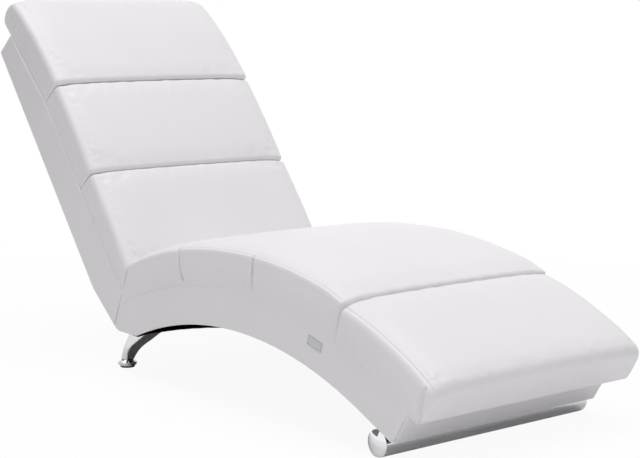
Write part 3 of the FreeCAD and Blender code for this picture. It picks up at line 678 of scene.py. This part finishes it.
def tuck_ends(rings, holds, middles):
    """Adds rings at both ends of a pad that gather towards the middle of its thickness."""
    for at_start, (x, z) in zip((True, False), middles):
        rim = rings[0] if at_start else rings[-1]
        spine = rim.copy()
        spine[:, 0], spine[:, 2] = x, z
        spine[:, 1] = np.clip(rim[:, 1], -spine_half_width, spine_half_width)
        for step in range(1, end_rings):
            place = 0 if at_start else len(rings)
            rings.insert(place, rim + (spine - rim) * step / end_rings)
            holds.insert(place, np.full(len(rim), end_hold_share))


def tube_faces(rows, count):
    """Quads between closed rings of points."""
    faces = []
    for row in range(rows - 1):
        for column in range(count):
            first = row * count + column
            second = row * count + (column + 1) % count
            faces.append((first, first + count, second + count, second))
    return faces


def close_ends(mesh, count, creased):
    """Fills the two ends of a pad and creases the two edges of its underside."""
    edit = bmesh.new()
    edit.from_mesh(mesh)
    crease = edit.edges.layers.float.new("crease_edge")
    for edge in edit.edges:
        columns = {vertex.index % count for vertex in edge.verts}
        if len(columns) == 1 and columns <= creased:
            edge[crease] = 1.0
    rims = [edge for edge in edit.edges if edge.is_boundary]
    closing = bmesh.ops.holes_fill(edit, edges=rims, sides=0)["faces"]
    bmesh.ops.triangulate(edit, faces=closing)
    bmesh.ops.recalc_face_normals(edit, faces=edit.faces)
    edit.to_mesh(mesh)
    edit.free()


def stuffed_pad(name, path, start, end, thickness, half_width, radii, draws, lift, roll, lean,
                fuller, darts):
    """A closed pad of rings along its path, with its ends filled and its seams held."""
    length = float(end - start(np.array(thickness / 2)))
    phases = np.random.default_rng(len(name)).uniform(0.0, 6.28, (2, 3))
    rings, holds = [], []
    for along, lost, firm_here in pad_stations(length, *radii, darts):
        share = along / length
        bulge = 1 - (2 * share - 1) ** 2
        low = pad_clearance + (lift * lost if share > 0.5 else 0.0)
        extra = np.interp(share, [place for place, rise in fuller], [rise for place, rise in fuller])
        top = thickness + plump + length_crown * bulge + extra - lost
        roll_out, roll_down, rise, corner = roll
        rise += corner * math.exp((along - length) / corner_reach)
        draw = draws[0 if share < 0.5 else 1] * lost
        ring, firm = pad_ring(low, top, half_width, lean - draw, roll_out, roll_down, rise)
        for phase, away in zip(phases, (along, length - along)):
            waves = sum(np.sin(ring[:, 0] * turns + shift) for turns, shift in zip(pucker_turns, phase))
            ring[:, 1] += waves * pucker_height * math.exp(-away / pucker_reach) * (ring[:, 1] > top / 2)
        begin = start(ring[:, 1])
        x, z = path(begin + (end - begin) * share, ring[:, 1])
        rings.append(np.stack([x, ring[:, 0], z], axis=1))
        holds.append(np.maximum(firm, firm_here))
    count = len(rings[0])
    foot_columns = {0, int(np.argmax(rings[0][:20, 1]))}
    half = np.array(thickness / 2)
    tuck_ends(rings, holds, (path(start(half), half), path(end + 0.0 * half, half)))
    pad = new_piece(name + "_stuffed", np.concatenate(rings), tube_faces(len(rings), count), pad_leather)
    held = pad.vertex_groups.new(name="held")
    for index, weight in enumerate(np.concatenate(holds)):
        if weight > 0.0:
            held.add([index], float(weight), "REPLACE")
    close_ends(pad.data, count, foot_columns)
    return pad


def mesh_points(mesh):
    """The places of a mesh's vertices, one row each."""
    points = np.empty(len(mesh.vertices) * 3)
    mesh.vertices.foreach_get("co", points)
    return points.reshape(-1, 3)


def mesh_normals(mesh):
    """The normals of a mesh's vertices, one row each."""
    normals = np.empty(len(mesh.vertices) * 3)
    mesh.vertex_normals.foreach_get("vector", normals)
    return normals.reshape(-1, 3)


def set_points(mesh, points):
    """Moves a mesh's vertices to new places."""
    mesh.vertices.foreach_set("co", points.ravel())
    mesh.update()


pads = {plan["name"]: stuffed_pad(**plan) for plan in pad_plan}
before = {name: mesh_points(pad.data) for name, pad in pads.items()}
for pad in pads.values():
    stuffing = pad.modifiers.new("stuffing", "CLOTH")
    cloth = stuffing.settings
    cloth.quality = 6
    cloth.mass = 0.3
    cloth.tension_stiffness = 15.0
    cloth.compression_stiffness = 15.0
    cloth.shear_stiffness = 5.0
    cloth.bending_stiffness = 0.3
    cloth.shrink_min = -0.012
    cloth.use_pressure = True
    cloth.uniform_pressure_force = pad_pressure
    cloth.effector_weights.gravity = 0.0
    cloth.vertex_group_mass = "held"
    stuffing.collision_settings.use_collision = False
    stuffing.point_cache.frame_start = 1
    stuffing.point_cache.frame_end = pad_frames
for step in range(1, pad_frames + 1):
    bpy.context.scene.frame_set(step)
depsgraph = bpy.context.evaluated_depsgraph_get()
blown = {name: mesh_points(pad.evaluated_get(depsgraph).data) for name, pad in pads.items()}
for name, pad in pads.items():
    pad.modifiers.clear()
    move = blown[name] - before[name]
    reach = np.linalg.norm(move, axis=1)
    move *= (pad_reach * np.tanh(reach / pad_reach) / np.maximum(reach, 1e-9))[:, None]
    set_points(pad.data, before[name] + move)
bpy.context.scene.frame_set(1)

for name, pad in pads.items():
    pad.vertex_groups.clear()
    fine = pad.modifiers.new("fine_mesh", "SUBSURF")
    fine.levels = 1
    fine.render_levels = 1
    baked(pad)
    pad.data.shade_smooth()
    pad.data.set_sharp_from_angle(angle=math.radians(62.0))
    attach(pad, "lounger")
    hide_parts(name)


# Seams. Top-stitching along the side edges of the seat and foot pads, two darts in each
# side of the seat pad, and the corner seams of the foot pad, all in white thread.
stitch_inset = 0.0028
stitch_pitch = 0.0058
stitch_length = 0.0042
stitch_thickness = 0.0009
stitch_shift = 0.22
press_step = 0.0015
top_seam_depth, top_seam_width = 0.0012, 0.0022
dart_depth, dart_width = 0.012, 0.0027
corner_depth, corner_width = 0.0038, 0.0023
dart_span = (0.082, 0.012)
corner_span = (0.080, 0.010)
corner_stitch_span = (0.072, 0.012)
cast_height, cast_side = 0.2, 0.4


def thread(name, light, dark):
    """Twisted sewing thread."""
    material, tree, shader = new_material(name)
    twist = place_noise(tree, (1.0, 1.0, 1.0), 2500.0)
    colour_ramp(tree, twist.outputs["Fac"], ((0.3, dark), (0.7, light)), shader.inputs["Base Color"])
    shader.inputs["Roughness"].default_value = 0.6
    return material


white_thread = thread("white_thread", (0.78, 0.77, 0.78), (0.64, 0.63, 0.64))


def stitch_tree():
    """Stitches of one size set end to end along a curve."""
    tree = bpy.data.node_groups.new("stitch_row", "GeometryNodeTree")
    names = {}
    tree.interface.new_socket("Geometry", in_out="INPUT", socket_type="NodeSocketGeometry")
    for name, kind in (("Pitch", "Float"), ("Length", "Float"), ("Thickness", "Float"),
                       ("Thread", "Material")):
        socket = tree.interface.new_socket(name, in_out="INPUT", socket_type="NodeSocket" + kind)
        names[name] = socket.identifier
    tree.interface.new_socket("Geometry", in_out="OUTPUT", socket_type="NodeSocketGeometry")
    entry = tree.nodes.new("NodeGroupInput")
    leave = tree.nodes.new("NodeGroupOutput")
    resample = tree.nodes.new("GeometryNodeResampleCurve")
    resample.mode = "LENGTH"
    tangent = tree.nodes.new("GeometryNodeInputTangent")
    turn = tree.nodes.new("FunctionNodeAlignRotationToVector")
    turn.axis = "Z"
    ball = tree.nodes.new("GeometryNodeMeshUVSphere")
    ball.inputs["Segments"].default_value = 8
    ball.inputs["Rings"].default_value = 6
    ball.inputs["Radius"].default_value = 0.5
    size = tree.nodes.new("ShaderNodeCombineXYZ")
    stretch = tree.nodes.new("GeometryNodeTransform")
    spread = tree.nodes.new("GeometryNodeInstanceOnPoints")
    realize = tree.nodes.new("GeometryNodeRealizeInstances")
    paint = tree.nodes.new("GeometryNodeSetMaterial")
    link = tree.links.new
    link(entry.outputs["Geometry"], resample.inputs["Curve"])
    link(entry.outputs["Pitch"], resample.inputs["Length"])
    link(entry.outputs["Thickness"], size.inputs["X"])
    link(entry.outputs["Thickness"], size.inputs["Y"])
    link(entry.outputs["Length"], size.inputs["Z"])
    link(ball.outputs["Mesh"], stretch.inputs["Geometry"])
    link(size.outputs["Vector"], stretch.inputs["Scale"])
    link(tangent.outputs["Tangent"], turn.inputs["Vector"])
    link(resample.outputs["Curve"], spread.inputs["Points"])
    link(stretch.outputs["Geometry"], spread.inputs["Instance"])
    link(turn.outputs["Rotation"], spread.inputs["Rotation"])
    link(spread.outputs["Instances"], realize.inputs["Geometry"])
    link(realize.outputs["Geometry"], paint.inputs["Geometry"])
    link(entry.outputs["Thread"], paint.inputs["Material"])
    link(paint.outputs["Geometry"], leave.inputs["Geometry"])
    return tree, names


stitch_nodes, stitch_inputs = stitch_tree()


def sew(name, rows, yarn, body):
    """Rows of points on a surface, sewn with stitches."""
    curve = bpy.data.curves.new(name, "CURVE")
    curve.dimensions = "3D"
    for row in rows:
        spline = curve.splines.new("POLY")
        spline.points.add(len(row) - 1)
        for point, place in zip(spline.points, row):
            point.co = (*place, 1.0)
    carrier = bpy.data.objects.new(name + "_path", curve)
    bpy.context.scene.collection.objects.link(carrier)
    modifier = carrier.modifiers.new("stitches", "NODES")
    modifier.node_group = stitch_nodes
    modifier[stitch_inputs["Pitch"]] = stitch_pitch
    modifier[stitch_inputs["Length"]] = stitch_length
    modifier[stitch_inputs["Thickness"]] = stitch_thickness
    modifier[stitch_inputs["Thread"]] = yarn
    depsgraph = bpy.context.evaluated_depsgraph_get()
    mesh = bpy.data.meshes.new_from_object(carrier.evaluated_get(depsgraph))
    bpy.data.objects.remove(carrier)
    bpy.data.curves.remove(curve)
    mesh.shade_smooth()
    piece = bpy.data.objects.new(name, mesh)
    bpy.context.scene.collection.objects.link(piece)
    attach(piece, body)
    return piece


def surface_of(piece):
    """A piece's surface, to cast rays at."""
    edit = bmesh.new()
    edit.from_mesh(piece.data)
    tree = BVHTree.FromBMesh(edit)
    edit.free()
    return tree


def press(piece, rows, depth, width):
    """Draws a piece's surface in along seams."""
    dense = []
    for row in rows:
        for a, b in zip(row, row[1:]):
            steps = max(1, math.ceil((b - a).length / press_step))
            dense += [a.lerp(b, step / steps) for step in range(steps)]
    tree = KDTree(len(dense))
    for index, point in enumerate(dense):
        tree.insert(point, index)
    tree.balance()
    points = mesh_points(piece.data)
    normals = mesh_normals(piece.data)
    gaps = np.array([tree.find(point)[2] for point in points])
    draw = depth * np.exp(-(gaps / width) ** 2)
    set_points(piece.data, points - normals * draw[:, None])


def seat_place(angle, height, y):
    """A point above the seat's deck."""
    reach = deck_radius + height
    return Vector((seat_centre[0] + math.sin(math.radians(angle)) * reach, y,
                   seat_centre[1] + math.cos(math.radians(angle)) * reach))


def seat_out(angle):
    """The direction away from the seat's centre."""
    return Vector((math.sin(math.radians(angle)), 0.0, math.cos(math.radians(angle))))


def top_row(surface, start, stop, y):
    """Points on the top of a seat or foot pad along its length."""
    row = []
    for angle in np.linspace(start, stop, max(8, int((stop - start) / 0.25))):
        hit = surface.ray_cast(seat_place(angle, cast_height, y), -seat_out(angle))[0]
        if hit is not None:
            row.append(hit)
    return row


def side_row(surface, line, sign, top, bottom):
    """Points down the side of a seat or foot pad, along a line of (height, angle)."""
    row = []
    for height in np.linspace(top, bottom, 24):
        angle = np.interp(height, [point[0] for point in line], [point[1] for point in line])
        start = seat_place(angle, height, sign * cast_side)
        hit = surface.ray_cast(start, Vector((0.0, -sign, 0.0)))[0]
        if hit is not None:
            row.append(hit)
    return row


# For each pad: the angles where its top seams start and stop, and how far inside its side they lie.
top_seams = (("seat_pad", -19.0, 18.4, 0.006 - seat_lean), ("foot_pad", 19.4, 32.9, 0.010 - foot_lean))
seam_plan = {"seat_pad": [], "foot_pad": []}
dart_plan, corner_plan, stitch_rows = [], [], []
seat_surface = surface_of(pads["seat_pad"])
foot_surface = surface_of(pads["foot_pad"])
for sign in (-1.0, 1.0):
    for name, start, stop, inside in top_seams:
        edge = sign * (seat_half_width - side_bulge / 2 - inside)
        surface = seat_surface if name == "seat_pad" else foot_surface
        seam_plan[name].append(top_row(surface, start, stop, edge))
        stitch_rows.append((name, start, stop, edge - sign * stitch_inset))
    for line in dart_lines:
        dart_plan.append(side_row(seat_surface, line, sign, *dart_span))
    corner_plan.append(side_row(foot_surface, corner_line, sign, *corner_span))
press(pads["seat_pad"], seam_plan["seat_pad"], top_seam_depth, top_seam_width)
press(pads["foot_pad"], seam_plan["foot_pad"], top_seam_depth, top_seam_width)
press(pads["seat_pad"], dart_plan, dart_depth, dart_width)
press(pads["foot_pad"], corner_plan, corner_depth, corner_width)
stitch_plan = []
for name, start, stop, y in stitch_rows:
    stitch_plan.append(top_row(surface_of(pads[name]), start, stop, y))
foot_surface = surface_of(pads["foot_pad"])
for sign in (-1.0, 1.0):
    for shift in (-stitch_shift, stitch_shift):
        beside = [(height, angle + shift) for height, angle in corner_line]
        stitch_plan.append(side_row(foot_surface, beside, sign, *corner_stitch_span))
sew("pad_stitching", stitch_plan, white_thread, "lounger")


# Tab. A small blank tag of leathercloth, a little greyer than the cover. It is sewn flat on
# the right side of the seat by one row of grey stitches round its border.
tab_border = 0.0022
tab_roll = 0.0003
tab_light = (0.7, 0.69, 0.705)
tab_dark = (0.67, 0.66, 0.675)
tab = skin("side_tab", tab_roll)
tab.data.materials[0] = leathercloth("tab_leathercloth_white", tab_light, tab_dark, 0.1)
tab_points = mesh_points(tab.data)
tab_middle = (tab_points.min(axis=0) + tab_points.max(axis=0)) / 2
tab_angle = math.atan2(tab_middle[0] - seat_centre[0], tab_middle[2] - seat_centre[1])
tab_along = np.array((math.cos(tab_angle), 0.0, -math.sin(tab_angle)))
tab_up = np.array((math.sin(tab_angle), 0.0, math.cos(tab_angle)))
half_along = np.abs((tab_points - tab_middle) @ tab_along).max() - tab_border
half_up = np.abs((tab_points - tab_middle) @ tab_up).max() - tab_border
tab_corners = []
for along, up in ((-1, -1), (1, -1), (1, 1), (-1, 1), (-1, -1)):
    corner = tab_middle + tab_along * half_along * along + tab_up * half_up * up
    tab_corners.append(Vector((corner[0], tab_points[:, 1].min(), corner[2])))
grey_thread = thread("grey_thread", (0.2, 0.2, 0.205), (0.13, 0.13, 0.135))
sew("tab_stitching", [tab_corners], grey_thread, "lounger")


# Legs and tube. Chromed zinc castings with screw-in disc feet, and a chromed steel tube
# with domed ends across the front, bolted up through its saddles.
chrome, chrome_tree, chrome_shader = new_material("chrome_plate")
chrome_shader.inputs["Metallic"].default_value = 1.0
chrome_shader.inputs["Base Color"].default_value = (0.86, 0.865, 0.88, 1.0)
chrome_haze = place_noise(chrome_tree, (1.0, 1.0, 1.0), 25.0)
colour_ramp(chrome_tree, chrome_haze.outputs["Fac"],
            ((0.35, (0.03, 0.03, 0.03)), (0.75, (0.09, 0.09, 0.09))), chrome_shader.inputs["Roughness"])
paint_nodes("chrome", chrome)


# Studio. A white floor that keeps the shadow, a white surround, a broad lamp overhead and a
# weak one in front. Cards that the camera doesn't see give the chrome its darker bands, one of
# them a grey patch of painted shadow on the floor under the base, and one of them keeps some
# light off the sides.
floor_glow = 0.93
floor_near, floor_far = 0.9, 2.4
floor_half = 60.0
sky_light = 0.42
matte_white = 0.9
quad = [(0, 1, 2, 3)]
scene = bpy.context.scene


def plain_sight(tree):
    """Whether a ray comes from the camera, a reflection or glass, which all see the white."""
    path = add_node(tree, "ShaderNodeLightPath")
    total = path.outputs["Is Camera Ray"]
    for kind in ("Is Glossy Ray", "Is Transmission Ray"):
        both = add_node(tree, "ShaderNodeMath", operation="MAXIMUM")
        tree.links.new(total, both.inputs[0])
        tree.links.new(path.outputs[kind], both.inputs[1])
        total = both.outputs[0]
    return total


def matte(name, grey, roughness=1.0):
    """A plain matte grey without any sheen."""
    material, tree, shader = new_material(name)
    shader.inputs["Base Color"].default_value = (grey, grey, grey, 1.0)
    shader.inputs["Roughness"].default_value = roughness
    shader.inputs["Specular IOR Level"].default_value = 0.0
    return material, tree, shader


white, white_tree, white_shader = matte("studio_white", matte_white, 0.9)
floor_place = add_node(white_tree, "ShaderNodeTexCoord")
floor_reach = add_node(white_tree, "ShaderNodeVectorMath", operation="LENGTH")
floor_fade = add_node(white_tree, "ShaderNodeMapRange", interpolation_type="SMOOTHSTEP")
floor_fade.inputs["From Min"].default_value = floor_near
floor_fade.inputs["From Max"].default_value = floor_far
floor_fade.inputs["To Min"].default_value = floor_glow
floor_fade.inputs["To Max"].default_value = 1.0
seen = add_node(white_tree, "ShaderNodeMath", operation="MULTIPLY")
glow = add_node(white_tree, "ShaderNodeEmission")
floor_mix = add_node(white_tree, "ShaderNodeMixShader")
floor_out = next(node for node in white_tree.nodes if node.type == "OUTPUT_MATERIAL")
white_tree.links.new(floor_place.outputs["Object"], floor_reach.inputs[0])
white_tree.links.new(floor_reach.outputs["Value"], floor_fade.inputs["Value"])
white_tree.links.new(floor_fade.outputs["Result"], seen.inputs[0])
white_tree.links.new(plain_sight(white_tree), seen.inputs[1])
white_tree.links.new(seen.outputs[0], floor_mix.inputs[0])
white_tree.links.new(white_shader.outputs["BSDF"], floor_mix.inputs[1])
white_tree.links.new(glow.outputs["Emission"], floor_mix.inputs[2])
white_tree.links.new(floor_mix.outputs["Shader"], floor_out.inputs["Surface"])
floor_corners = [(x * floor_half, y * floor_half, 0.0) for x, y in ((-1, -1), (1, -1), (1, 1), (-1, 1))]
floor = new_piece("floor", floor_corners, quad, white, False)

world = bpy.data.worlds.new("studio")
world.use_nodes = True
scene.world = world
sky = world.node_tree
background = next(node for node in sky.nodes if node.type == "BACKGROUND")
sky_level = add_node(sky, "ShaderNodeMix", data_type="FLOAT")
sky_level.inputs["A"].default_value = sky_light
sky_level.inputs["B"].default_value = 1.0
sky.links.new(plain_sight(sky), sky_level.inputs["Factor"])
sky.links.new(sky_level.outputs["Result"], background.inputs["Strength"])
background.inputs["Color"].default_value = (1.0, 1.0, 1.0, 1.0)


def lamp(name, place, target, size, power):
    """A soft square lamp that looks at a point."""
    light = bpy.data.lights.new(name, "AREA")
    light.size = size
    light.energy = power
    holder = bpy.data.objects.new(name, light)
    holder.location = place
    holder.rotation_euler = (Vector(target) - Vector(place)).to_track_quat("-Z", "Y").to_euler()
    scene.collection.objects.link(holder)


def card(name, corners, material, shades):
    """A card for the reflections, which the camera doesn't see, and which may shade as well."""
    piece = new_piece(name, corners, quad, material, False)
    piece.visible_camera = False
    piece.visible_diffuse = shades
    piece.visible_shadow = shades


def lying(x_low, x_high, y_low, y_high, z):
    """Corners of a card that lies on the floor."""
    return [(x_low, y_low, z), (x_high, y_low, z), (x_high, y_high, z), (x_low, y_high, z)]


def standing(start, end, low, high):
    """Corners of a card that stands upright between two places on the floor."""
    return [(*start, low), (*end, low), (*end, high), (*start, high)]


black_card = matte("studio_black", 0.02)[0]
grey_card = matte("studio_grey", 0.25)[0]
white_card = matte("studio_board", matte_white)[0]
card("dark_card", standing((3.4, 0.5), (1.2, 3.0), 0.0, 1.6), black_card, False)
# Painted shadow: a grey card on the floor under the base, seen only in reflections, makes the floor's
# shadow there darker as the chrome legs and feet see it.
card("floor_shadow_card", lying(-0.5, 0.2, -0.235, 0.3, 0.001), grey_card, False)
card("tube_card", lying(-1.6, 2.2, -1.4, 1.2, 0.0005), white_card, False)
card("side_card", standing((-3.2, -1.2), (-0.7, -2.2), 0.35, 2.2), grey_card, True)
lamp("overhead", (0.3, -0.65, 10.0), (0.2, 0.0, 0.3), 7.5, 630.0)
lamp("front", (3.4, -1.0, 0.9), (0.6, 0.0, 0.15), 1.4, 0.8)

camera_data = bpy.data.cameras.new("camera")
camera_data.lens = 87.746
camera_data.sensor_width = 36.0
camera = bpy.data.objects.new("camera", camera_data)
camera.location = (2.838283, -2.19867, 0.84142)
camera.rotation_euler = (math.radians(90.0 - 7.828), 0.0, math.radians(50.947))
scene.collection.objects.link(camera)
scene.camera = camera
scene.view_settings.view_transform = "Standard"
